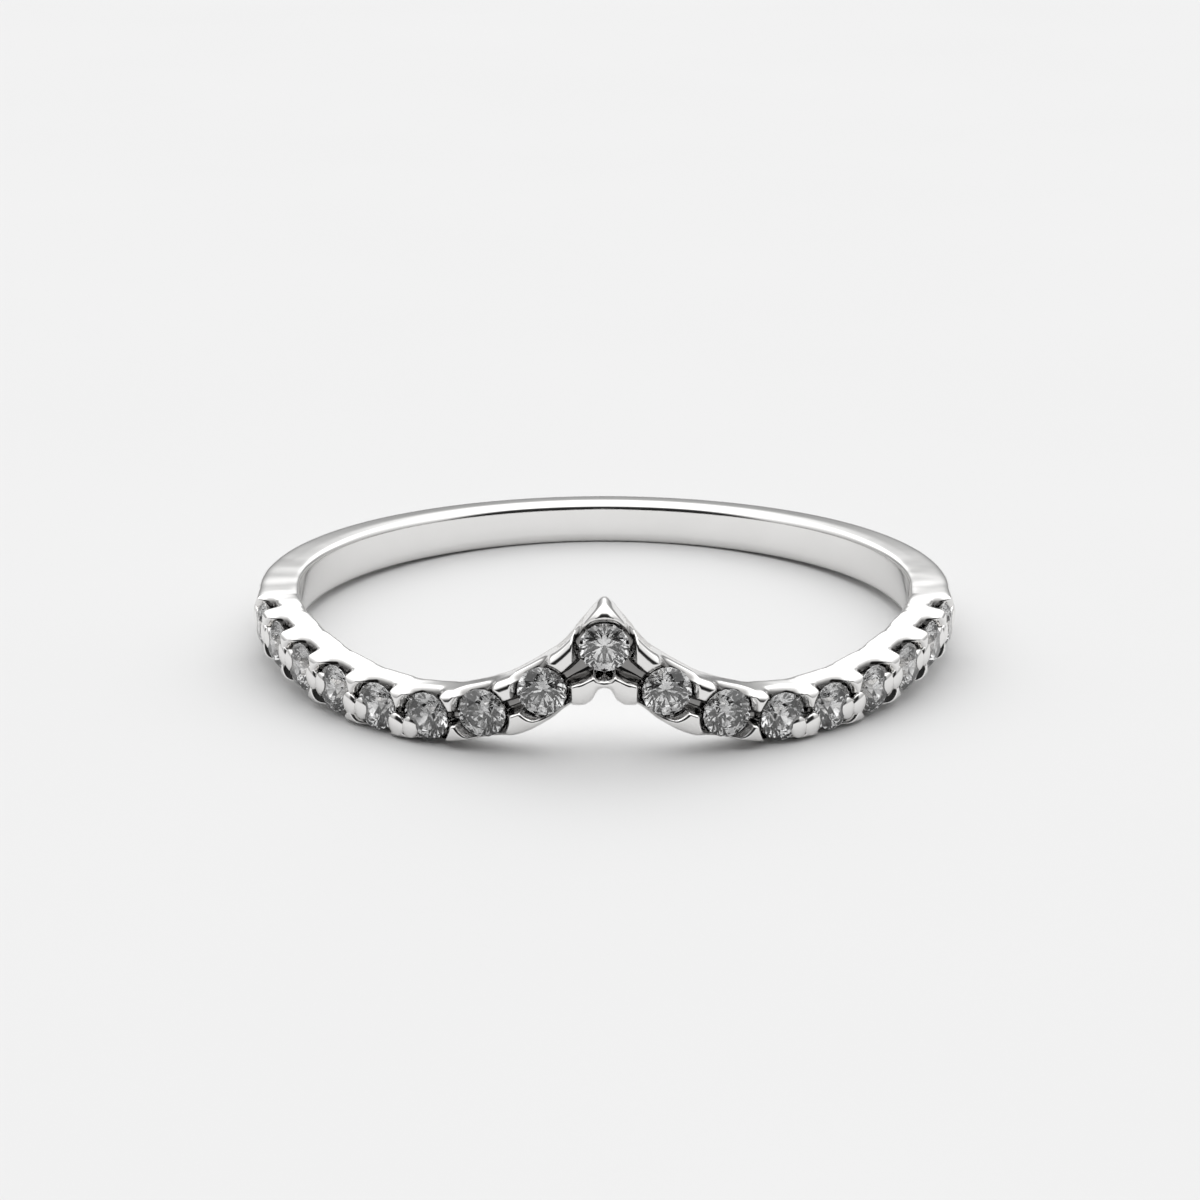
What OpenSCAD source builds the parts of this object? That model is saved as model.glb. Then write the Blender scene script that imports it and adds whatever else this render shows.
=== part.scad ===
// Stacking ring with a chevron point: a thin cast band whose front dips and rises to a
// peak, with a row of small round stones held by teeth cut from the band itself.
// Millimetres. The ring lies on its side on the floor z = 0, its finger hole runs up +Z
// about the origin, and the chevron peak is in front, towards -Y.

/* [Band] */
// inside radius of the finger hole
bore_r = 8.65; // [7.9:0.05:9.6]
// metal thickness from the hole to the tips of the teeth
wall = 1.3; // [1.2:0.05:1.5]
// how much thinner the band is at its shoulders, behind the last stones
shoulder_thinning = 0.15; // [0:0.05:0.25]
// width of the band across the stone row
row_width = 1.38; // [1.3:0.02:1.5]
// width of the plain band at the back
back_width = 1.17; // [0.9:0.03:1.38]

/* [Chevron] */
// how far the peak stands above the low stretch beside it
peak_rise = 2.38; // [1.6:0.06:2.8]
// angle round the ring from the peak to the low stretch
low_angle = 36; // [32:1:40]
// how sharply the sides of the chevron curve up, 1 is straight
peak_curve = 2.4; // [1.8:0.1:2.6]
// how much further both edges of the band reach at the very peak
peak_extra = 0.15; // [0:0.05:0.25]
// height of the centre line at the raised sides
side_height = 1.1; // [0.8:0.05:1.2]
// angle of the raised sides from the peak
side_angle = 73; // [66:1:80]

/* [Stones] */
// width of one stone across its girdle
stone_width = 1.3; // [1.2:0.02:1.36]
// stones on each side of the peak stone
stones_a_side = 8; // [4:1:8]
// angle between one stone and the next
stone_pitch = 9.5; // [9:0.05:9.6]
// air between a stone and its seat
seat_gap = 0.03; // [0.02:0.005:0.05]

/* [Cuts] */
// width of the window cut through both rails at each stone
window_width = 0.95; // [0.7:0.05:1]
// metal left between the finger hole and the bottom of a window
window_floor = 0.8; // [0.6:0.02:0.9]
// width of the groove that parts the upper and lower teeth
groove_width = 0.4; // [0.2:0.02:0.46]
// depth of that groove
groove_depth = 0.36; // [0.2:0.02:0.4]
// width of the light hole behind each stone
light_hole = 0.64; // [0.3:0.02:0.8]

/* [Hidden] */
$fn = 48;
out_r = bore_r + wall;
half_row = row_width / 2;
half_back = back_width / 2;
// the sections start inside the finger hole, which is then cut truly round
core_r = bore_r - 0.3;
// the girdle of each stone lies below the tips of the teeth
girdle_r = out_r - 0.23;
stone_r = stone_width / 2;
girdle_half = 0.02;
table_r = stone_r * 0.56;
crown_h = 0.196;
pavilion_h = 0.58;
// the teeth lean over the crown as far as this radius
tooth_reach = stone_r - 0.15;
// beyond this angle the band is plain
plain_angle = 80;
front_step = 2.3;
back_step = 5;

// smooth step from 0 to 1
function ease(u) = (1 - cos(180 * min(max(u, 0), 1))) / 2;

// height of the centre line of the band above the floor, at an angle from the peak
function line_height(a) =
    let (t = abs(a))
    t <= low_angle ? half_row + peak_rise * pow(1 - t / low_angle, peak_curve)
    : t <= side_angle
        ? half_row + (side_height - half_row) * ease((t - low_angle) / (side_angle - low_angle))
        : half_back + (side_height - half_back) * ease(pow(max(180 - t, 0) / (180 - side_angle), 1.25));

// slope of the centre line in degrees, taken across a short stretch
function slope_between(a1, a2) =
    atan2(line_height(a2) - line_height(a1), out_r * (a2 - a1) * PI / 180);
function line_slope(a) = slope_between(a - 0.2, a + 0.2);

// the same slope taken on one side only, so that the peak keeps its crease
function side_slope(a) = let (t = max(abs(a), 0.2)) abs(slope_between(t - 0.2, t + 0.2));

// half of the band's width across the centre line
function half_width(a) = half_row + (half_back - half_row) * ease((abs(a) - 60) / 120);

// the same measured straight up, which is more where the band climbs and at the very peak
function half_height(a) = half_width(a) / cos(side_slope(a)) + peak_extra * (1 - ease(abs(a) / 8));

// outside radius of the plain band: thinner at the shoulders, full again at the back
function plain_r(a) = out_r + 0.03 - shoulder_thinning * (1 - ease((abs(a) - 105) / 50));

// one section of the band as [depth below the outside, share of the half width] pairs:
// bevelled in front, where the teeth are cut, and softly rounded in the plain band
front_section = [[0.95, -1], [0.30, -1], [0.12, -0.97], [0.03, -0.86], [0, -0.68], [0, 0],
                 [0, 0.68], [0.03, 0.86], [0.12, 0.97], [0.30, 1], [0.95, 1]];
back_section = [[0.72, -0.99], [0.40, -1], [0.17, -0.94], [0.06, -0.78], [0.01, -0.42], [0, 0],
                [0.01, 0.42], [0.06, 0.78], [0.17, 0.94], [0.40, 1], [0.72, 0.99]];
inner_share = 0.93;
function plain_share(a) = ease((abs(a) - 77) / 9);
function section(a) =
    let (h = half_height(a), z = line_height(a), k = plain_share(a))
    let (r = out_r * (1 - k) + plain_r(a) * k, inner = 1 - k + inner_share * k)
    concat([[core_r, z - inner * h]],
           [for (i = [0:10]) let (p = front_section[i] * (1 - k) + back_section[i] * k) [r - p[0], z + p[1] * h]],
           [[core_r, z + inner * h]]);

// the angles at which sections stand, closer together along the stone row
front_count = floor(plain_angle / front_step);
back_count = round((180 - front_count * front_step) / back_step);
back_span = (180 - front_count * front_step) / back_count;
half_angles = concat([for (i = [0:front_count]) i * front_step],
                     [for (i = [1:back_count]) front_count * front_step + i * back_span]);
angles = concat(half_angles, [for (i = [len(half_angles) - 2:-1:1]) -half_angles[i]]);

// the whole band before anything is cut, as one closed loop of sections
module band_blank() {
    n = len(section(0));
    m = len(angles);
    points = [for (a = angles) for (p = section(a)) [p[0] * sin(a), -p[0] * cos(a), p[1]]];
    faces = [for (i = [0:m - 1]) for (j = [0:n - 1])
                 let (i2 = (i + 1) % m, j2 = (j + 1) % n)
                     each [[i * n + j, i * n + j2, i2 * n + j2], [i * n + j, i2 * n + j2, i2 * n + j]]];
    polyhedron(points = points, faces = faces, convexity = 6);
}

// puts its children on the centre line at an angle: +Z points outwards from the ring,
// +X runs along the row and +Y across it
module on_line(a, slope, radius) {
    translate([radius * sin(a), -radius * cos(a), line_height(a)])
        rotate([0, 0, a])
            rotate([90, 0, 0])
                rotate([0, 0, slope])
                    children();
}

// the finger hole, eased by a hundredth of a millimetre inside the chevron
module finger_hole() {
    height = half_row * 3 + peak_rise + 1;
    ease_half = bore_r * sin(low_angle);
    translate([0, 0, -0.5])
        cylinder(r = bore_r, h = height);
    intersection() {
        translate([0, 0, -0.5])
            cylinder(r = bore_r + 0.01, h = height);
        translate([-ease_half, -2 * out_r, -1])
            cube([2 * ease_half, 2 * out_r, height + 1]);
    }
}

// the space that one stone and its light hole need, measured from the girdle
module seat_space() {
    r = stone_r + seat_gap;
    lean = crown_h / (stone_r - table_r);
    drop = pavilion_h / stone_r;
    hole_r = light_hole / 2;
    top = girdle_half + seat_gap;
    low = -girdle_half - 1.4 * seat_gap;
    rotate_extrude()
        polygon([[0, -wall - 0.4], [hole_r, -wall - 0.4], [hole_r, low - (r - hole_r) * drop], [r, low],
                 [r, top], [tooth_reach, top + (r - tooth_reach) * lean], [tooth_reach, 1], [0, 1]]);
}

// one window through a rail: a slot with a round bottom, from one height to another;
// a narrow one needs straight sides above the round
module window(width, from, to) {
    middle = bore_r + window_floor - girdle_r + width / 2;
    translate([0, from, middle])
        rotate([-90, 0, 0])
            cylinder(d = width, h = to - from);
    if (middle < 0.1)
        translate([-width / 2, from, middle])
            cube([width, to - from, 2]);
}

// the groove between one stone and the next: a slot with a round bottom
module groove() {
    middle = out_r - girdle_r + groove_width / 2 - groove_depth;
    translate([-0.5, 0, middle])
        rotate([0, 90, 0])
            cylinder(d = groove_width, h = 1);
    translate([-0.5, -groove_width / 2, middle])
        cube([1, groove_width, 1]);
}

// everything that is cut for one stone beside the peak, side is -1 left or 1 right
module side_cuts(i, side) {
    a = side * i * stone_pitch;
    slope = line_slope(a);
    on_line(a, slope, girdle_r) {
        seat_space();
        window(window_width / sqrt(cos(slope)), -1.4, 1.4);
    }
    between = a - side * stone_pitch / 2;
    on_line(between, line_slope(between), girdle_r)
        groove();
}

// the peak stone has a recess below it and a window on each side of its pointed tooth
module peak_cuts() {
    on_line(0, 0, girdle_r) {
        seat_space();
        window(0.5, -half_height(0) + 0.14, 0);
    }
    for (side = [-1, 1])
        on_line(side * 1.1, -side * side_slope(0), girdle_r)
            window(0.58, 0, 1.6);
}

module band() {
    color("#d9d8d6")
        difference() {
            band_blank();
            finger_hole();
            peak_cuts();
            for (side = [-1, 1], i = [1:stones_a_side])
                side_cuts(i, side);
        }
}

// a round stone with a flat table and 56 more facets, besides those of its girdle
module cut_stone() {
    star_r = (table_r + stone_r) / 2 + 0.025;
    star_z = girdle_half + crown_h * 0.56;
    lower_r = stone_r * 0.25;
    points = concat(
        [for (k = [0:7]) [table_r * cos(k * 45), table_r * sin(k * 45), girdle_half + crown_h]],
        [for (k = [0:7]) [star_r * cos(k * 45 + 22.5), star_r * sin(k * 45 + 22.5), star_z]],
        [for (z = [girdle_half, -girdle_half]) for (k = [0:15]) [stone_r * cos(k * 22.5), stone_r * sin(k * 22.5), z]],
        [for (k = [0:7]) [lower_r * cos(k * 45 + 22.5), lower_r * sin(k * 45 + 22.5), -girdle_half - pavilion_h * 0.78]],
        [[0, 0, -girdle_half - pavilion_h]]);
    faces = concat(
        [[7, 6, 5, 4, 3, 2, 1, 0]],
        [for (k = [0:7])
            let (next = (k + 1) % 8, last = (k + 7) % 8, g = 16 + 2 * k, g2 = 16 + (2 * k + 2) % 16)
            each [
                // star, main and upper girdle facets of the crown
                [k, next, 8 + k], [k, 8 + k, g], [k, g, 8 + last],
                [8 + k, g + 1, g], [8 + k, g2, g + 1],
                // the girdle
                [g, g + 1, g + 17], [g, g + 17, g + 16],
                [g + 1, g2, g2 + 16], [g + 1, g2 + 16, g + 17],
                // lower girdle and main facets of the pavilion
                [48 + k, g + 16, g + 17], [48 + k, g + 17, g2 + 16],
                [48 + k, g2 + 16, 48 + next], [48 + k, 48 + next, 56]]]);
    polyhedron(points = points, faces = faces, convexity = 2);
}

// one stone in its seat, counted from the peak
module stone(i, side) {
    a = side * i * stone_pitch;
    color("#b9bcc0")
        on_line(a, i == 0 ? 0 : line_slope(a), girdle_r)
            cut_stone();
}

band();
stone(0, 1);  // stone_peak
for (i = [1:stones_a_side]) {
    stone(i, -1);
    stone(i, 1);
}
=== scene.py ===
# %% [markdown]
# # A chevron ring on a pale floor
# The ring is one thin cast band whose front rises to a point, with seventeen small round
# stones held by teeth cut from the band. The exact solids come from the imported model, and this
# lesson dresses them. We start by loading that model, because every new piece is fitted to it.

import math

import bpy
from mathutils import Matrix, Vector


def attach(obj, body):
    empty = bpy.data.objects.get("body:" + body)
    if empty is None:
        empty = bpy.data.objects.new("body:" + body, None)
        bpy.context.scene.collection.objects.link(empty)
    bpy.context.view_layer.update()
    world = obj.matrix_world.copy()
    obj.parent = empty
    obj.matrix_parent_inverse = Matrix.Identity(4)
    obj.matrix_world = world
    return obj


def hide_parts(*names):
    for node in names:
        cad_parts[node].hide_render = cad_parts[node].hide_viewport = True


MM = 0.001
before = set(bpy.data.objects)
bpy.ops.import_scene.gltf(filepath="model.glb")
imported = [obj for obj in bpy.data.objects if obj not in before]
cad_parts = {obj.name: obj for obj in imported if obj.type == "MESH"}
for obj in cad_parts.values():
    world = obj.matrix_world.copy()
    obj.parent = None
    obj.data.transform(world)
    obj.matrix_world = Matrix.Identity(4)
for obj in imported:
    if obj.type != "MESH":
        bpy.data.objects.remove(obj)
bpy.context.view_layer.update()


# %% [markdown]
# ## The sizes of the ring
# A bench jeweller works from a short list of sizes, so we keep one too, in millimetres. The
# ring lies on its side: its finger hole runs up +Z and the chevron points at the camera, -Y.
# Angles are counted round the ring from the point, in degrees.

# %% Sizes in millimetres
BORE_R = 8.65
TOOTH_R = 9.95
GIRDLE_R = 9.72
HALF_ROW = 0.69
HALF_BACK = 0.585
PEAK_RISE = 2.38
PEAK_CURVE = 2.4
LOW_ANGLE = 36.0
SIDE_HEIGHT = 1.1
SIDE_ANGLE = 73.0
STONE_PITCH = 9.5
STONES_A_SIDE = 8
STONE_R = 0.65
WINDOW_FLOOR_R = BORE_R + 0.8
PLAIN_ANGLE = 84.0
BACK_ANGLE = 180.0
DEGREE = math.pi / 180
PEAK_SLOPE = PEAK_RISE * PEAK_CURVE / LOW_ANGLE / (TOOTH_R * DEGREE)
print("the rails leave the peak at", round(math.degrees(math.atan(PEAK_SLOPE)), 1), "degrees")

# %% [markdown]
# ## Writing formulas with nodes
# The band's shape follows a rule: how high it stands, how deep each window is cut. In Geometry
# Nodes a rule is a chain of Math nodes, which is slow to place by hand. The small class below
# wraps a socket so that `a + b` adds a Math node for us and the formula reads like arithmetic.
# Two more helpers add any other node in one line and give a node group its named inputs.


# %% A socket that can be used in a formula
class Field:
    """One number that varies over the geometry, held by a socket of a node tree."""

    def __init__(self, tree, socket):
        self.tree = tree
        self.socket = socket

    def math(self, operation, *others):
        node = self.tree.nodes.new("ShaderNodeMath")
        node.operation = operation
        for place, value in zip(node.inputs, (self, *others)):
            if isinstance(value, Field):
                self.tree.links.new(value.socket, place)
            else:
                place.default_value = value
        return Field(self.tree, node.outputs[0])

    def __add__(self, other):
        return self.math("ADD", other)

    def __sub__(self, other):
        return self.math("SUBTRACT", other)

    def __mul__(self, other):
        return self.math("MULTIPLY", other)

    def __truediv__(self, other):
        return self.math("DIVIDE", other)

    def __pow__(self, other):
        return self.math("POWER", other)

    def __rsub__(self, number):
        return self.math("MULTIPLY_ADD", -1.0, number)

    def size(self):
        return self.math("ABSOLUTE")

    def positive(self):
        """The same, with 0 wherever it is negative."""
        return self.math("MAXIMUM", 0.0)

    def share(self, start, end):
        """0 before start, 1 after end and a straight line between them."""
        node = self.tree.nodes.new("ShaderNodeMapRange")
        self.tree.links.new(self.socket, node.inputs["Value"])
        node.inputs["From Min"].default_value = start
        node.inputs["From Max"].default_value = end
        return Field(self.tree, node.outputs["Result"])

    def ease(self, start, end):
        """The same as share, but with a soft start and a soft end."""
        found = self.share(start, end)
        found.socket.node.interpolation_type = "SMOOTHSTEP"
        return found

    def hump(self, start, full, fading, gone):
        """Rises from start to full, stays 1, and falls from fading to gone."""
        return self.ease(start, full) * (1.0 - self.ease(fading, gone))

    def blend(self, low, high):
        """low where this field is 0, high where it is 1."""
        return (1.0 - self) * low + self * high


def group_input(tree, name, kind, value=None):
    """Adds a named input to a node group."""
    item = tree.interface.new_socket(name=name, in_out="INPUT", socket_type=kind)
    if value is not None:
        item.default_value = value


def group_output(tree, name, kind):
    """Adds a named output to a node group."""
    tree.interface.new_socket(name=name, in_out="OUTPUT", socket_type=kind)


def add_node(tree, kind, links=(), **settings):
    """Adds a node, sets it up, and links or fills its inputs."""
    node = tree.nodes.new(kind)
    for name, value in settings.items():
        setattr(node, name, value)
    for place, source in links:
        if isinstance(source, Field):
            source = source.socket
        if isinstance(source, bpy.types.NodeSocket):
            tree.links.new(source, node.inputs[place])
        else:
            node.inputs[place].default_value = source
    return node


print("formula helpers ready")

# %% [markdown]
# ## The centre line
# Both rails follow one wavy line round the finger: a steep point in front, a low stretch each
# side of it, a gentle rise at the sides and a flat back. We make it a node group, because the
# band, the seats and the prong tips all ask the same question: how high is the line at this
# angle? A drawn curve would do, but a formula keeps the point exactly where the solids have it.

# %% The centre line as a node group
TIP_ROUND = 1.0
BACK_CURVE = 1.25
line_group = bpy.data.node_groups.new("Centre line", "GeometryNodeTree")
group_input(line_group, "Angle", "NodeSocketFloat")
group_output(line_group, "Height", "NodeSocketFloat")
group_output(line_group, "Stretch", "NodeSocketFloat")
line_angle = Field(line_group, add_node(line_group, "NodeGroupInput").outputs["Angle"])
from_peak = (line_angle * line_angle + TIP_ROUND**2) ** 0.5
climb = (1.0 - from_peak / LOW_ANGLE).positive()
side_rise = from_peak.ease(LOW_ANGLE, SIDE_ANGLE) * (SIDE_HEIGHT - HALF_ROW)
back_share = (BACK_ANGLE - from_peak).share(0.0, BACK_ANGLE - SIDE_ANGLE) ** BACK_CURVE
back_fall = (1.0 - back_share.ease(0.0, 1.0)) * (HALF_BACK - SIDE_HEIGHT)
line_height = climb**PEAK_CURVE * PEAK_RISE + side_rise + back_fall + HALF_ROW
steepness = climb ** (PEAK_CURVE - 1.0) * PEAK_SLOPE
stretch = (steepness * steepness + 1.0) ** 0.5
add_node(line_group, "NodeGroupOutput", [("Height", line_height), ("Stretch", stretch)])


def ask_line(tree, angle):
    """The centre line's height and stretch at an angle, as two fields."""
    node = add_node(tree, "GeometryNodeGroup", node_tree=line_group)
    tree.links.new(angle.socket, node.inputs["Angle"])
    return Field(tree, node.outputs["Height"]), Field(tree, node.outputs["Stretch"])


print("centre line group has", len(line_group.nodes), "nodes")

# %% [markdown]
# ## The band, its rails, windows and teeth
# On the real ring a saw and a round burr cut a window through both rails at each stone, and
# what stays between two windows becomes the teeth. We could cut a sweep with Booleans, but cast
# and polished metal has soft edges everywhere. So we bend a fine grid round the ring and press
# every cut into it with a smooth minimum, which rounds each edge as polishing does.

# %% Start the band's tree
band_tree = bpy.data.node_groups.new("Ring band", "GeometryNodeTree")
group_output(band_tree, "Geometry", "NodeSocketGeometry")
group_input(band_tree, "Columns", "NodeSocketInt", 1101)
group_input(band_tree, "Window width", "NodeSocketFloat", 0.95)
group_input(band_tree, "Groove half width", "NodeSocketFloat", 0.20)
group_input(band_tree, "Groove depth", "NodeSocketFloat", 0.42)
group_input(band_tree, "Edge softness", "NodeSocketFloat", 0.26)
group_input(band_tree, "Light hole radius", "NodeSocketFloat", 0.32)
group_input(band_tree, "Metal", "NodeSocketMaterial")
band_in = add_node(band_tree, "NodeGroupInput")


def band_field(name):
    return Field(band_tree, band_in.outputs[name])


def band_node(kind, links=(), **settings):
    return add_node(band_tree, kind, links, **settings)


def split_position():
    """The three coordinates of each point, as fields."""
    position = band_node("GeometryNodeInputPosition")
    parts = band_node("ShaderNodeSeparateXYZ", [(0, position.outputs[0])])
    return [Field(band_tree, socket) for socket in parts.outputs]


OUTER_ROWS, SIDE_ROWS, INNER_ROWS = 44, 14, 8
ROWS = OUTER_ROWS + 2 * SIDE_ROWS + INNER_ROWS
sheet_size = [("Size X", 1.0), ("Size Y", 1.0)]
sheet_size += [("Vertices X", band_field("Columns")), ("Vertices Y", ROWS + 1)]
grid = band_node("GeometryNodeMeshGrid", sheet_size)
sheet_x, sheet_y = split_position()[:2]
across = sheet_y + 0.5
around = sheet_x * 2.0
print("the grid has", ROWS, "rows round the section")

# %% [markdown]
# ## From a flat grid to a walk round the ring
# The grid's long side becomes the angle round the ring. The stone row is where the detail is, so
# most columns go there, and the plain back gets the few that its even curve needs. The short
# side becomes a walk round the section: outer face, lower side, finger side, upper side. A
# square with rounded corners has a neat formula, the superellipse: a high power keeps the
# corners tight, and the plain back has tighter ones than the stone row.

# %% Where each grid point stands round the ring and round the section
FRONT_SHARE = 0.81
PLAIN_FADE = (78.0, 86.0)
INNER_CORNERS = (6.5, 14.0)
OUTER_CORNERS = (5.0, 6.5)
INNER_TO_OUTER = (-0.4, 0.4)
turn = around.size()
front_part = turn.math("MINIMUM", FRONT_SHARE) * (PLAIN_ANGLE / FRONT_SHARE)
back_part = (turn - FRONT_SHARE).positive() * ((BACK_ANGLE - PLAIN_ANGLE) / (1.0 - FRONT_SHARE))
off_peak = front_part + back_part
angle = off_peak * around.math("SIGN")
row = across * ROWS
inner_corner = OUTER_ROWS + SIDE_ROWS
upper_corner = inner_corner + INNER_ROWS
square_out = 1.0 - row.share(OUTER_ROWS, inner_corner) * 2.0 + row.share(upper_corner, ROWS) * 2.0
square_up = 1.0 - row.share(0, OUTER_ROWS) * 2.0 + row.share(inner_corner, upper_corner) * 2.0
plain = off_peak.ease(*PLAIN_FADE)
inner_power, outer_power = plain.blend(*INNER_CORNERS), plain.blend(*OUTER_CORNERS)
power = square_out.ease(*INNER_TO_OUTER).blend(inner_power, outer_power)
norm = (square_out.size() ** power + square_up.size() ** power) ** (power**-1.0 * -1.0)
section_up = square_up * norm
outward = square_out * norm * 0.5 + 0.5
print("angles and section laid out")

# %% [markdown]
# ## The rails' own outline
# Seen from the front, the rails aren't an even ribbon. The real band has a pointed tooth over
# the peak stone. Below it there is a small notch, with a low bar on each side and a fainter one
# further out, and the back is a little thinner. Each of these is a soft bump along the
# angle, added to the half width. We could sculpt them, but a named range for each is easier to
# change, and both halves of the ring get the same.

# %% Tooth, notch, bars and taper
NARROWING = (60.0, 180.0)
NEAR_PEAK = (0.0, 8.0)
TIP_EXTRA, NOTCH_EXTRA = 0.33, 0.06
BAR_SPAN, BAR_EXTRA = (0.7, 2.0, 2.7, 5.3), 0.2
SECOND_BAR_SPAN, SECOND_BAR_EXTRA = (5.0, 8.5, 12.0, 20.0), 0.14
BACK_SPAN, BACK_EXTRA = (PLAIN_ANGLE, 140.0), 0.07
TAPER_SPAN, INNER_TAPER, OUTER_TAPER, OUTER_TAPER_FROM = (82.0, 150.0), 0.03, 0.2, 0.4
MIDDLE = 0.3
half_width = off_peak.ease(*NARROWING).blend(HALF_ROW, HALF_BACK)
height, stretch_here = ask_line(band_tree, angle)
inner_taper = (1.0 - outward) ** 2.0 * INNER_TAPER
outer_taper = (outward - OUTER_TAPER_FROM).positive() * OUTER_TAPER
taper = 1.0 - off_peak.ease(*TAPER_SPAN) * (inner_taper + outer_taper)
near_peak = 1.0 - off_peak.ease(*NEAR_PEAK)
bars = off_peak.hump(*BAR_SPAN) * BAR_EXTRA + off_peak.hump(*SECOND_BAR_SPAN) * SECOND_BAR_EXTRA
tooth_and_back = near_peak * TIP_EXTRA + off_peak.ease(*BACK_SPAN) * BACK_EXTRA
upper_extra = section_up.ease(-MIDDLE, MIDDLE) * tooth_and_back
lower_extra = section_up.ease(MIDDLE, -MIDDLE) * (near_peak * NOTCH_EXTRA + bars)
reach_up = half_width * stretch_here + upper_extra + lower_extra
print("tooth", TIP_EXTRA, "mm, bars", BAR_EXTRA, "and", SECOND_BAR_EXTRA, "mm")

# %% [markdown]
# ## Waves from hand polishing
# A polishing wheel leaves the upper rail very slightly wavy, and the shoulders show it as
# rippling reflections. A noise texture read at each point's place gives such waves, and gives
# the same ones each time the script runs. They fade out on the plain back, which is smooth.

# %% Waves on the upper rail
WAVE_SCALE, WAVE_DETAIL, WAVE_DEPTH = 1.1, 0.5, 0.034
WAVES_GROW, WAVES_FADE, WAVES_AT_PEAK = (15.0, 60.0), (66.0, 128.0), 0.3
WAVES_ON_FACE = 0.4
wave_place = [("X", angle * (TOOTH_R * DEGREE)), ("Y", section_up), ("Z", outward)]
wave_spot = band_node("ShaderNodeCombineXYZ", wave_place)
wave_links = [("Vector", wave_spot.outputs[0]), ("Scale", WAVE_SCALE), ("Detail", WAVE_DETAIL)]
wave_noise = band_node("ShaderNodeTexNoise", wave_links)
wave_share = off_peak.ease(*WAVES_GROW).blend(WAVES_AT_PEAK, 1.0) * (1.0 - off_peak.ease(*WAVES_FADE))
wave = (Field(band_tree, wave_noise.outputs["Fac"]) - 0.5) * wave_share * WAVE_DEPTH
lift = section_up * reach_up * taper + wave * section_up.positive()
level = height + lift
print("waves at most", WAVE_DEPTH / 2, "mm high")

# %% [markdown]
# ## Finding the nearest stone
# Seventeen stones stand at even angles, so no list is needed: rounding the angle to the nearest
# multiple of the pitch names the stone, and the rest of each formula is written once, in that
# stone's own directions: along the row, and across it.

# %% The nearest stone, and the place of each point beside it
PROBE = 0.2
stone_number = (angle / STONE_PITCH).math("ROUND")
stone_number = stone_number.math("MAXIMUM", -STONES_A_SIDE).math("MINIMUM", STONES_A_SIDE)
stone_angle = stone_number * STONE_PITCH
at_peak = stone_number.size().math("LESS_THAN", 0.5)


def fall_from_peak(degrees):
    """How far the centre line has fallen at an angle from the point, if the point is sharp."""
    return PEAK_RISE * (1 - (1 - degrees / LOW_ANGLE) ** PEAK_CURVE)


stone_height = ask_line(band_tree, stone_angle)[0] + at_peak * fall_from_peak(TIP_ROUND)
rise = ask_line(band_tree, stone_angle + PROBE)[0] - ask_line(band_tree, stone_angle - PROBE)[0]
slope = rise / (TOOTH_R * 2 * PROBE * DEGREE)
cosine = (slope * slope + 1.0) ** -0.5
sine = slope * cosine
sideways = (angle - stone_angle) * (GIRDLE_R * DEGREE)
upwards = level - stone_height
along = sideways * cosine + upwards * sine
over = upwards * cosine - sideways * sine
print("stones at multiples of", STONE_PITCH, "degrees")

# %% [markdown]
# ## The windows
# Each cut is a surface of its own, given as how far out the metal may reach. A window is a
# trough between two teeth. Its floor is round, it flares towards the two edges of the band, and
# at the lower edge it stops short, so that a lip of metal joins the feet of the teeth.

# %% How far out the windows let the metal reach
CUT_DEPTH = TOOTH_R - WINDOW_FLOOR_R
NEVER = 5.0
FLARE_POWER, FLARE_SWAP, FLARES = 5.0, (-0.2, 0.2), (0.24, 0.15)
LOWER_EDGE, WINDOW_POWERS = (-0.9, -0.3), (2.6, 4.0)
LIP_SPAN, LIP_HEIGHT = (-0.55, -0.95), 0.26
flare = section_up.size() ** FLARE_POWER * section_up.ease(*FLARE_SWAP).blend(*FLARES)
window_half = (band_field("Window width") * 0.5 + flare) / cosine**0.5
window_power = section_up.ease(*LOWER_EDGE).blend(*WINDOW_POWERS)
lip = section_up.ease(*LIP_SPAN) * LIP_HEIGHT
trough = (along.size() / window_half) ** window_power * CUT_DEPTH
window = trough + at_peak * NEVER + WINDOW_FLOOR_R + lip
print("the windows are", round(CUT_DEPTH, 2), "mm deep")

# %% [markdown]
# ## The cuts at the point
# The stone in the point has no full window. It gets a slot on each side of the pointed tooth
# above it and a small recess below it. A slot leans with the rail that it cuts, so its own
# directions are worked out from the slope there.

# %% Slots beside the tooth, and the recess under the stone
SLOT_ANGLE, SLOT_HALF, SLOT_POWER = 1.8, 0.42, 4.0
SLOT_FOOT, SLOT_FOOT_SLOPE = 0.1, 4.0
RECESS_HALF, RECESS_FOOT, RECESS_SLOPE = 0.28, -0.72, 2.5
lean = math.atan(PEAK_SLOPE)
slot_side = sideways.size() - SLOT_ANGLE * GIRDLE_R * DEGREE
slot_up = upwards + fall_from_peak(SLOT_ANGLE)
slot_along = slot_side * math.cos(lean) - slot_up * math.sin(lean)
slot_over = slot_side * math.sin(lean) + slot_up * math.cos(lean)
slot_end = (SLOT_FOOT - slot_over).positive() * SLOT_FOOT_SLOPE
not_peak = (1.0 - at_peak) * NEVER
slot_trough = (slot_along.size() / SLOT_HALF) ** SLOT_POWER * CUT_DEPTH
slot = slot_trough + slot_end + not_peak + WINDOW_FLOOR_R

recess_end = (RECESS_FOOT - upwards).positive() * RECESS_SLOPE + upwards.positive() * RECESS_SLOPE
recess_trough = (sideways.size() / RECESS_HALF) ** 2.0 * CUT_DEPTH
recess = recess_trough + recess_end + not_peak + WINDOW_FLOOR_R
print("slots lean", round(math.degrees(lean), 1), "degrees")

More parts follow.
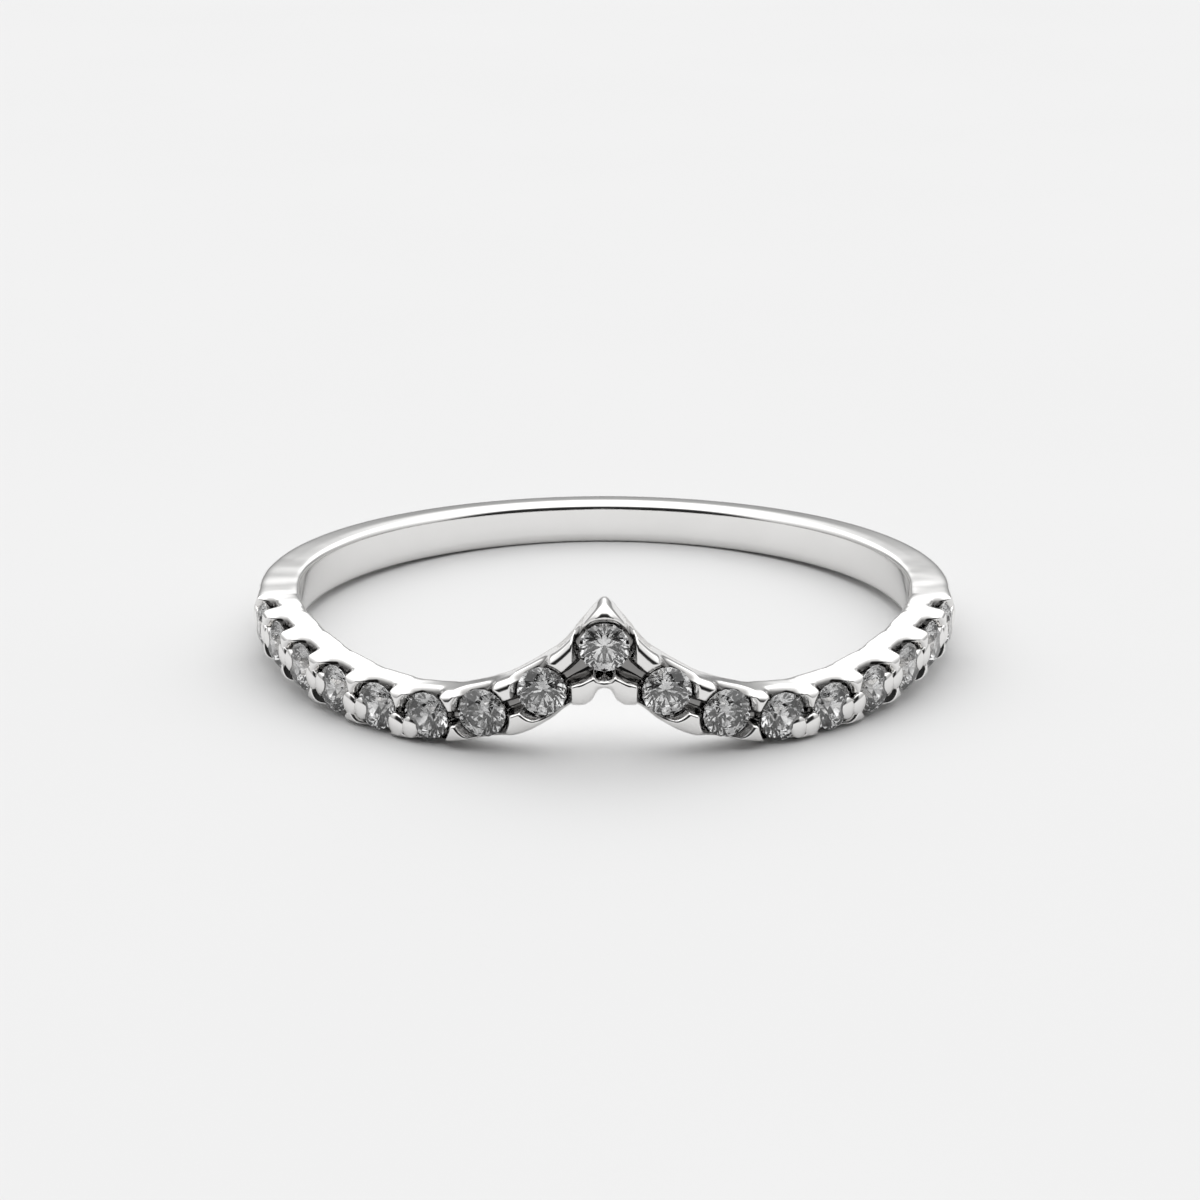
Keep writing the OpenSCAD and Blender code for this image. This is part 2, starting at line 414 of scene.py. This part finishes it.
# %% [markdown]
# ## The groove, the seats and the softness of each cut
# A groove along the middle of the row parts the upper teeth from the lower ones, and a cone is
# sunk for each stone. Then the lowest of all the cuts wins. A smooth minimum joins them, and
# its last number says how wide the rounded edge is: wide for sawn windows, narrow for the
# groove and the seats, which a graver cuts last and nobody polishes. How deep the corners lie
# is kept as a mark too, and the metal paints shade into the deep corners with it.

# %% Join the cuts
GROOVE_POWER, GROOVE_WIDENS, GROOVE_EDGE = 4.0, 0.1, 0.12
ROW_END = STONE_PITCH * (STONES_A_SIDE + 0.25)
SEAT_GAP, SEAT_DROP, SEAT_CONE, SEAT_WALL, SEAT_EDGE = 0.03, 0.05, 0.86, 2.0, 0.07
PLAIN_SPAN, SIDE_R, BACK_R = (105.0, 155.0), TOOTH_R - 0.12, TOOTH_R + 0.03
SOFTER_BELOW = (1.8, 1.0)
SHADE_DEPTHS, SHADE_FACE = (0.12, 0.34), (0.8, 0.97)
groove_depth = band_field("Groove depth")
groove_half = band_field("Groove half width") + near_peak * GROOVE_WIDENS
groove_over = (section_up * half_width).size() / groove_half
row_end = off_peak.math("GREATER_THAN", ROW_END) * NEVER
groove = groove_over**GROOVE_POWER * groove_depth + (TOOTH_R - groove_depth) + row_end

from_stone = (along * along + over * over) ** 0.5 - (STONE_R + SEAT_GAP)
seat = (from_stone * SEAT_CONE).math("MAXIMUM", from_stone * SEAT_WALL) + (GIRDLE_R - SEAT_DROP)

softness = band_field("Edge softness") * section_up.ease(*LOWER_EDGE).blend(*SOFTER_BELOW)
cuts = [(window, softness), (slot, softness), (recess, softness), (groove, GROOVE_EDGE), (seat, SEAT_EDGE)]
reach = plain.blend(TOOTH_R, off_peak.ease(*PLAIN_SPAN).blend(SIDE_R, BACK_R))
for cut, edge in cuts:
    reach = reach.math("SMOOTH_MIN", cut, edge)
reach = reach + wave * WAVES_ON_FACE
# Painted shade: this mark says where the metal's colour is darkened in the deep corners of the stone row.
corner_shade = (TOOTH_R - reach).ease(*SHADE_DEPTHS) * outward.ease(*SHADE_FACE) * (1.0 - plain)
print(len(cuts), "kinds of cut joined")

# %% [markdown]
# ## Bending the grid and opening the light holes
# The fields now say where each point belongs, so one Set Position node bends the whole sheet,
# and Merge by Distance closes its two seams. The mark for the painted shade in the deep corners
# is stored before the bend, because a field that reads positions would otherwise read the bent
# ones. Behind each stone the maker drills a hole for light to come in. A hole changes how a surface
# is connected, which a field can't do, so this is the one place for a Boolean, with cylinders placed as
# instances.

# %% Set the points and cut the light holes
SEAM_GAP = 1e-6
HOLE_MIDDLE_R, DRILL_SIDES, DRILL_LENGTH = 8.95, 20, 1.3 * MM
radius = outward * (reach - BORE_R) + BORE_R
radians = angle * DEGREE
point_x = radius * radians.math("SINE") * MM
point_y = radius * radians.math("COSINE") * -MM
point = band_node("ShaderNodeCombineXYZ", [("X", point_x), ("Y", point_y), ("Z", level * MM)])
# The mark for the painted shade in the deep corners is stored here.
marks = [("Geometry", grid.outputs["Mesh"]), ("Name", "corner_shade"), ("Value", corner_shade)]
marked = band_node("GeometryNodeStoreNamedAttribute", marks, data_type="FLOAT", domain="POINT")
bend = [("Geometry", marked.outputs[0]), ("Position", point.outputs[0])]
bent = band_node("GeometryNodeSetPosition", bend)
seams = [("Geometry", bent.outputs[0]), ("Distance", SEAM_GAP)]
closed = band_node("GeometryNodeMergeByDistance", seams)


def place_on_row(angle_field, out_mm, up_mm=0.0):
    """A position on the centre line and the turn that points +Z outwards from it."""
    found_height = ask_line(band_tree, angle_field)[0] + up_mm
    turned = angle_field * DEGREE
    place_x = turned.math("SINE") * (out_mm * MM)
    place_y = turned.math("COSINE") * (-out_mm * MM)
    where = band_node("ShaderNodeCombineXYZ", [("X", place_x), ("Y", place_y), ("Z", found_height * MM)])
    facing = band_node("ShaderNodeCombineXYZ", [("X", math.pi / 2), ("Z", turned)])
    return where.outputs[0], facing.outputs[0]


index = Field(band_tree, band_node("GeometryNodeInputIndex").outputs[0])
hole_angle = (index - STONES_A_SIDE) * STONE_PITCH
hole_spot, hole_turn = place_on_row(hole_angle, HOLE_MIDDLE_R)
holes = [("Count", 2 * STONES_A_SIDE + 1), ("Position", hole_spot)]
hole_points = band_node("GeometryNodePoints", holes)
drill_r = band_field("Light hole radius") * MM
drill_size = [("Vertices", DRILL_SIDES), ("Radius", drill_r), ("Depth", DRILL_LENGTH)]
drill = band_node("GeometryNodeMeshCylinder", drill_size)
drill_links = [("Points", hole_points.outputs[0]), ("Instance", drill.outputs["Mesh"])]
drills = band_node("GeometryNodeInstanceOnPoints", drill_links + [("Rotation", hole_turn)])
drills_real = band_node("GeometryNodeRealizeInstances", [("Geometry", drills.outputs[0])])
cut_links = [(0, closed.outputs[0]), (1, drills_real.outputs[0])]
pierced = band_node("GeometryNodeMeshBoolean", cut_links, solver="EXACT")
smooth = band_node("GeometryNodeSetShadeSmooth", [("Geometry", pierced.outputs[0])])
crisp_links = [("Geometry", smooth.outputs[0]), ("Selection", pierced.outputs["Intersecting Edges"])]
crisp_links += [("Shade Smooth", False)]
crisp = band_node("GeometryNodeSetShadeSmooth", crisp_links, domain="EDGE")
print("light holes placed:", 2 * STONES_A_SIDE + 1)

# %% [markdown]
# ## Prong tips
# Along the sides of the ring the lower teeth end in two small petals, pushed over the edge of
# the stone with a beading tool. They repeat, so they are instances of one small ball, with its
# outer half pressed flat. Two stand on each tooth, turned a little apart, and they are made
# real and joined to the band. The teeth near the point have none, so their points are left out.

# %% The shape of one petal
PETAL_R, PETAL_SEGMENTS, PETAL_RINGS = 0.2 * MM, 20, 12
PETAL_FLATNESS = 0.32
PETAL_SCALE = (1.3, 1.6, 1.6)
ball_size = [("Segments", PETAL_SEGMENTS), ("Rings", PETAL_RINGS), ("Radius", PETAL_R)]
ball = band_node("GeometryNodeMeshUVSphere", ball_size)
ball_x, ball_y, ball_z = split_position()
pressed = ball_z.positive() * PETAL_FLATNESS + ball_z.math("MINIMUM", 0.0)
petal_shape = band_node("ShaderNodeCombineXYZ", [("X", ball_x), ("Y", ball_y), ("Z", pressed)])
petal_links = [("Geometry", ball.outputs["Mesh"]), ("Position", petal_shape.outputs[0])]
petal = band_node("GeometryNodeSetPosition", petal_links)
print("petals are", round(2 * PETAL_R * PETAL_SCALE[0] / MM, 2), "mm wide")

# %% Petals on the lower teeth
SIDES, LOBES = 2, 2
TEETH_A_SIDE = STONES_A_SIDE + 1
FIRST_PETAL_TOOTH = 3
PETAL_R_OUT = 9.88
PETAL_SHIFT, PETAL_SPREAD, PETAL_TURN = 0.12, 2.6, 0.5
PETAL_CLIMB, PETAL_HEIGHTS = (28.0, 56.0), (-0.32, 0.06)
petal_side = index.math("MODULO", 2.0) * 2.0 - 1.0
petal_lobe = (index / SIDES).math("FLOOR").math("MODULO", 2.0) - 0.5
petal_tooth = (index / (SIDES * LOBES)).math("FLOOR") + 0.5
petal_angle = ((petal_tooth - PETAL_SHIFT) * STONE_PITCH + petal_lobe * PETAL_SPREAD) * petal_side
petal_up = (petal_tooth * STONE_PITCH).ease(*PETAL_CLIMB).blend(*PETAL_HEIGHTS)
petal_spot, petal_facing = place_on_row(petal_angle, PETAL_R_OUT, petal_up)
petal_spin = band_node("ShaderNodeCombineXYZ", [("Z", petal_lobe * petal_side * -PETAL_TURN)])
petal_count = [("Count", TEETH_A_SIDE * SIDES * LOBES), ("Position", petal_spot)]
petal_points = band_node("GeometryNodePoints", petal_count)
chosen = petal_tooth.math("GREATER_THAN", FIRST_PETAL_TOOTH)
copies = [("Points", petal_points.outputs[0]), ("Instance", petal.outputs[0])]
copies += [("Rotation", petal_facing), ("Selection", chosen), ("Scale", PETAL_SCALE)]
petals = band_node("GeometryNodeInstanceOnPoints", copies)
spin_links = [("Instances", petals.outputs[0]), ("Rotation", petal_spin.outputs[0])]
petals_turned = band_node("GeometryNodeRotateInstances", spin_links)
petals_smooth = band_node("GeometryNodeSetShadeSmooth", [("Geometry", petals_turned.outputs[0])])
joined = band_node("GeometryNodeJoinGeometry", [(0, crisp.outputs[0])])
band_tree.links.new(petals_smooth.outputs[0], joined.inputs[0])
real = band_node("GeometryNodeRealizeInstances", [("Geometry", joined.outputs[0])])
coat = [("Geometry", real.outputs[0]), ("Material", band_field("Metal"))]
coated = band_node("GeometryNodeSetMaterial", coat)
band_node("NodeGroupOutput", [(0, coated.outputs[0])])
print("band tree has", len(band_tree.nodes), "nodes")

# %% [markdown]
# ## Mottle, an effect that every finish shares
# No real surface has one even tone. The metal, the stones and the floor all vary between a
# darker and a lighter one, each at its own scale. So the effect is a shader node group, built
# once from a noise in Object coordinates, and each material gives it its own values. A ramp in
# each material would do, but then a change would have to be made three times.


# %% The mottle group
def new_material(name):
    made = bpy.data.materials.new(name)
    made.use_nodes = True
    return made, made.node_tree, made.node_tree.nodes["Principled BSDF"]


mottle = bpy.data.node_groups.new("Mottle", "ShaderNodeTree")
for title in ("Scale", "Detail", "Dark below", "Light above"):
    group_input(mottle, title, "NodeSocketFloat")
for title in ("Dark", "Light"):
    group_input(mottle, title, "NodeSocketColor")
group_output(mottle, "Color", "NodeSocketColor")
group_output(mottle, "Mask", "NodeSocketFloat")
asked = add_node(mottle, "NodeGroupInput").outputs
mottle_place = add_node(mottle, "ShaderNodeTexCoord")
mottle_links = [("Vector", mottle_place.outputs["Object"])]
mottle_links += [("Scale", asked["Scale"]), ("Detail", asked["Detail"])]
cloud = add_node(mottle, "ShaderNodeTexNoise", mottle_links)
range_links = [("Value", cloud.outputs["Fac"])]
range_links += [("From Min", asked["Dark below"]), ("From Max", asked["Light above"])]
lightness = add_node(mottle, "ShaderNodeMapRange", range_links)
tone_links = [("Factor", lightness.outputs["Result"]), ("A", asked["Dark"]), ("B", asked["Light"])]
tone = add_node(mottle, "ShaderNodeMix", tone_links, data_type="RGBA")
add_node(mottle, "NodeGroupOutput", [("Color", tone.outputs["Result"]), ("Mask", cloud.outputs["Fac"])])


def add_mottle(tree, scale, detail=2.0, dark=(0, 0, 0), light=(1, 1, 1), spread=(0.0, 1.0)):
    """Places the group in a material, with the material's own values."""
    node = add_node(tree, "ShaderNodeGroup", node_tree=mottle)
    node.inputs["Scale"].default_value = scale
    node.inputs["Detail"].default_value = detail
    node.inputs["Dark below"].default_value, node.inputs["Light above"].default_value = spread
    node.inputs["Dark"].default_value = (*dark, 1)
    node.inputs["Light"].default_value = (*light, 1)
    return node.outputs


print("mottle group has", len(mottle.nodes), "nodes")

# %% [markdown]
# ## Polished white metal
# The ring is a bright white metal with a high polish. A Principled BSDF at full metallic does
# that, but a perfect mirror looks like a toy. Real polish leaves faint waves and tiny changes of
# gloss, so one mottle drives the tone and a very small bump, and a finer one the roughness. The
# corner mark paints shade into the deep corners: it darkens their colour towards a dark grey.

# %% The metal
# The third colour is painted shade, laid into the deep corners by the corner mark.
WORN, BRIGHT, CORNER_SHADE_TONE = (0.82, 0.812, 0.80), (0.88, 0.873, 0.865), (0.26, 0.255, 0.25)
METAL_GLOSS = (0.05, 0.14)
BUMP_STRENGTH, BUMP_DISTANCE = 0.12, 0.02 * MM
metal, metal_tree, metal_bsdf = new_material("Polished white metal")
coarse = add_mottle(metal_tree, scale=700.0, dark=WORN, light=BRIGHT)
fine = add_mottle(metal_tree, scale=2600.0, detail=3.0)
gloss_links = [("Value", fine["Mask"]), ("To Min", METAL_GLOSS[0]), ("To Max", METAL_GLOSS[1])]
gloss = add_node(metal_tree, "ShaderNodeMapRange", gloss_links)
# Painted shade: the corner mark mixes the metal's colour towards a dark grey in the deep corners.
corner_shade_mark = add_node(metal_tree, "ShaderNodeAttribute", attribute_name="corner_shade")
corner_shade_links = [("Factor", corner_shade_mark.outputs["Fac"]), ("A", coarse["Color"]), ("B", (*CORNER_SHADE_TONE, 1))]
corner_shaded = add_node(metal_tree, "ShaderNodeMix", corner_shade_links, data_type="RGBA")
bump_links = [("Strength", BUMP_STRENGTH), ("Distance", BUMP_DISTANCE), ("Height", coarse["Mask"])]
bump = add_node(metal_tree, "ShaderNodeBump", bump_links)
metal_tree.links.new(corner_shaded.outputs["Result"], metal_bsdf.inputs["Base Color"])
metal_tree.links.new(gloss.outputs["Result"], metal_bsdf.inputs["Roughness"])
metal_tree.links.new(bump.outputs["Normal"], metal_bsdf.inputs["Normal"])
metal_bsdf.inputs["Metallic"].default_value = 1.0
print("material:", metal.name)

# %% [markdown]
# ## Cut clear stone
# A small brilliant looks like a patchwork of light and dark facets. Glass with a high index of
# refraction does most of that by itself. The real stones are a little cloudy too, which a
# coarse mottle in the colour that light picks up on its way through gives without new geometry.

# %% The stones
STONE_TONES = {"dark": (0.18, 0.18, 0.18), "light": (0.95, 0.95, 0.95), "spread": (0.3, 0.65)}
stone, stone_tree, stone_bsdf = new_material("Cut clear stone")
stone_cloud = add_mottle(stone_tree, scale=2000.0, **STONE_TONES)
stone_tree.links.new(stone_cloud["Color"], stone_bsdf.inputs["Base Color"])
stone_bsdf.inputs["Transmission Weight"].default_value = 1.0
stone_bsdf.inputs["Roughness"].default_value = 0.02
stone_bsdf.inputs["IOR"].default_value = 2.1
print("material:", stone.name)

# %% [markdown]
# ## From nodes to a plain mesh
# The modifier's inputs are set by the sockets' identifiers before Blender first evaluates the
# object. Then the evaluated result is copied to a plain mesh and the modifier goes, so that the
# piece can be exported and moved like any other. The stones' exact solids stay, and only get
# their material.


# %% Make the band
def grow(tree, name, values):
    """Runs a tree once and returns an object that holds its result as a plain mesh."""
    made = bpy.data.objects.new(name, bpy.data.meshes.new(name))
    bpy.context.collection.objects.link(made)
    modifier = made.modifiers.new("Grow", "NODES")
    modifier.node_group = tree
    for item in tree.interface.items_tree:
        if item.in_out == "INPUT" and item.name in values:
            modifier[item.identifier] = values[item.name]
    graph = bpy.context.evaluated_depsgraph_get()
    result = bpy.data.meshes.new_from_object(made.evaluated_get(graph))
    made.modifiers.clear()
    made.data = result
    return made


ring_band = grow(band_tree, "ring_band", {"Metal": metal})
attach(ring_band, "root")
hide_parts("band")
print("ring band:", len(ring_band.data.polygons), "faces")

stones = [node for name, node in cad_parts.items() if name.startswith("stone_")]
for node in stones:
    node.material_slots[0].material = stone
print("stones:", len(stones))

# %% [markdown]
# ## The floor
# The ring lies on a plain pale floor that fills the picture. A wide plane is enough, with the
# faintest mottle, so that it doesn't look like empty paper.

# %% Floor
FLOOR_HALF = 1.5
FLOOR_TONES = {"dark": (0.722, 0.722, 0.722), "light": (0.738, 0.738, 0.738)}
floor_mesh = bpy.data.meshes.new("floor")
corners = [(FLOOR_HALF * x, FLOOR_HALF * y, 0) for x, y in ((-1, -1), (1, -1), (1, 1), (-1, 1))]
floor_mesh.from_pydata(corners, [], [(0, 1, 2, 3)])
floor = bpy.data.objects.new("floor", floor_mesh)
bpy.context.collection.objects.link(floor)
pale, pale_tree, pale_bsdf = new_material("Pale floor")
pale_grain = add_mottle(pale_tree, scale=60.0, **FLOOR_TONES)
pale_tree.links.new(pale_grain["Color"], pale_bsdf.inputs["Base Color"])
pale_bsdf.inputs["Roughness"].default_value = 0.9
pale_bsdf.inputs["Specular IOR Level"].default_value = 0.1
floor.data.materials.append(pale)
print("floor is", 2 * FLOOR_HALF, "m wide")

# %% [markdown]
# ## Soft studio light
# Bright jewellery is lit by what it mirrors. Lamps would show as hard spots in the polish, so
# the world itself is a white tent, brightest overhead. A white card across its back gives the
# flat tops something bright to mirror. The open front of the tent, round the camera, is dark,
# and it draws the thin black lines along the rounded edges of the metal. Low down the tent is
# a little darker, more so at the front and the back than at the sides.

# %% The white tent
KEY, CARD, FILL = 1.05, 0.6, 0.6
KEY_RISE, KEY_FADE = 86.0 * DEGREE, (0.1, 0.95)
CARD_BACK, CARD_RISE = (0.35, 0.75), (0.2, 0.34, 0.6, 0.9)
OPENING_FRONT, OPENING_RISE, OPENING_DARKNESS = (0.3, 0.6), (0.0, 0.08, 0.66, 0.88), 0.97
HORIZON_RISE, SIDE_SPAN, HORIZON_TONES = (0.0, 0.3), (0.5, 0.95), (0.45, 0.8)
world = bpy.data.worlds.new("White tent")
bpy.context.scene.world = world
bpy.context.scene.view_settings.view_transform = "Standard"
world.use_nodes = True
tent = world.node_tree
background = tent.nodes["Background"]
toward = add_node(tent, "ShaderNodeTexCoord")
parts = add_node(tent, "ShaderNodeSeparateXYZ", [(0, toward.outputs["Generated"])])
to_side, to_back, to_top = [Field(tent, socket) for socket in parts.outputs]
toward_key = to_back * math.cos(KEY_RISE) + to_top * math.sin(KEY_RISE)
key = toward_key.ease(*KEY_FADE) * KEY
card = to_back.ease(*CARD_BACK) * to_top.hump(*CARD_RISE) * CARD
opening = (to_back * -1.0).ease(*OPENING_FRONT) * to_top.hump(*OPENING_RISE)
low_tone = to_side.size().ease(*SIDE_SPAN).blend(*HORIZON_TONES)
horizon = to_top.ease(*HORIZON_RISE).blend(low_tone, 1.0)
glow = (1.0 - opening * OPENING_DARKNESS) * (key + card + FILL) * horizon
tent.links.new(glow.socket, background.inputs["Strength"])
background.inputs["Color"].default_value = (1.0, 1.0, 1.0, 1)
print("tent has", len(tent.nodes), "nodes")

# %% [markdown]
# ## The camera
# The photograph looks down on the ring at about nineteen degrees with a long lens. The lens
# follows from how many pixels a millimetre takes, and a small shift places the ring in the
# frame as the photograph does. Moving the camera instead would change what the metal mirrors.

# %% Camera
ELEVATION = 19.24 * DEGREE
DISTANCE = 90.0 * MM
SENSOR_WIDTH = 36.0
PIXELS_PER_MM = 34.92
FRAME_PIXELS = 1200
AIM_PIXEL = (604.4, 624.8)
NEAREST, FURTHEST = 0.005, 10.0
target = Vector((0.0, 0.0, 0.285 * MM))
camera_data = bpy.data.cameras.new("Camera")
camera = bpy.data.objects.new("Camera", camera_data)
bpy.context.collection.objects.link(camera)
back = Vector((0.0, -math.cos(ELEVATION), math.sin(ELEVATION)))
camera.location = target + back * DISTANCE
camera.rotation_mode = "QUATERNION"
camera.rotation_quaternion = (-back).to_track_quat("-Z", "Y")
camera_data.sensor_width = SENSOR_WIDTH
camera_data.lens = PIXELS_PER_MM * DISTANCE / MM * SENSOR_WIDTH / FRAME_PIXELS
camera_data.shift_x = (FRAME_PIXELS / 2 - AIM_PIXEL[0]) / FRAME_PIXELS
camera_data.shift_y = (AIM_PIXEL[1] - FRAME_PIXELS / 2) / FRAME_PIXELS
camera_data.clip_start, camera_data.clip_end = NEAREST, FURTHEST
bpy.context.scene.camera = camera
print("lens", round(camera_data.lens, 1), "mm")
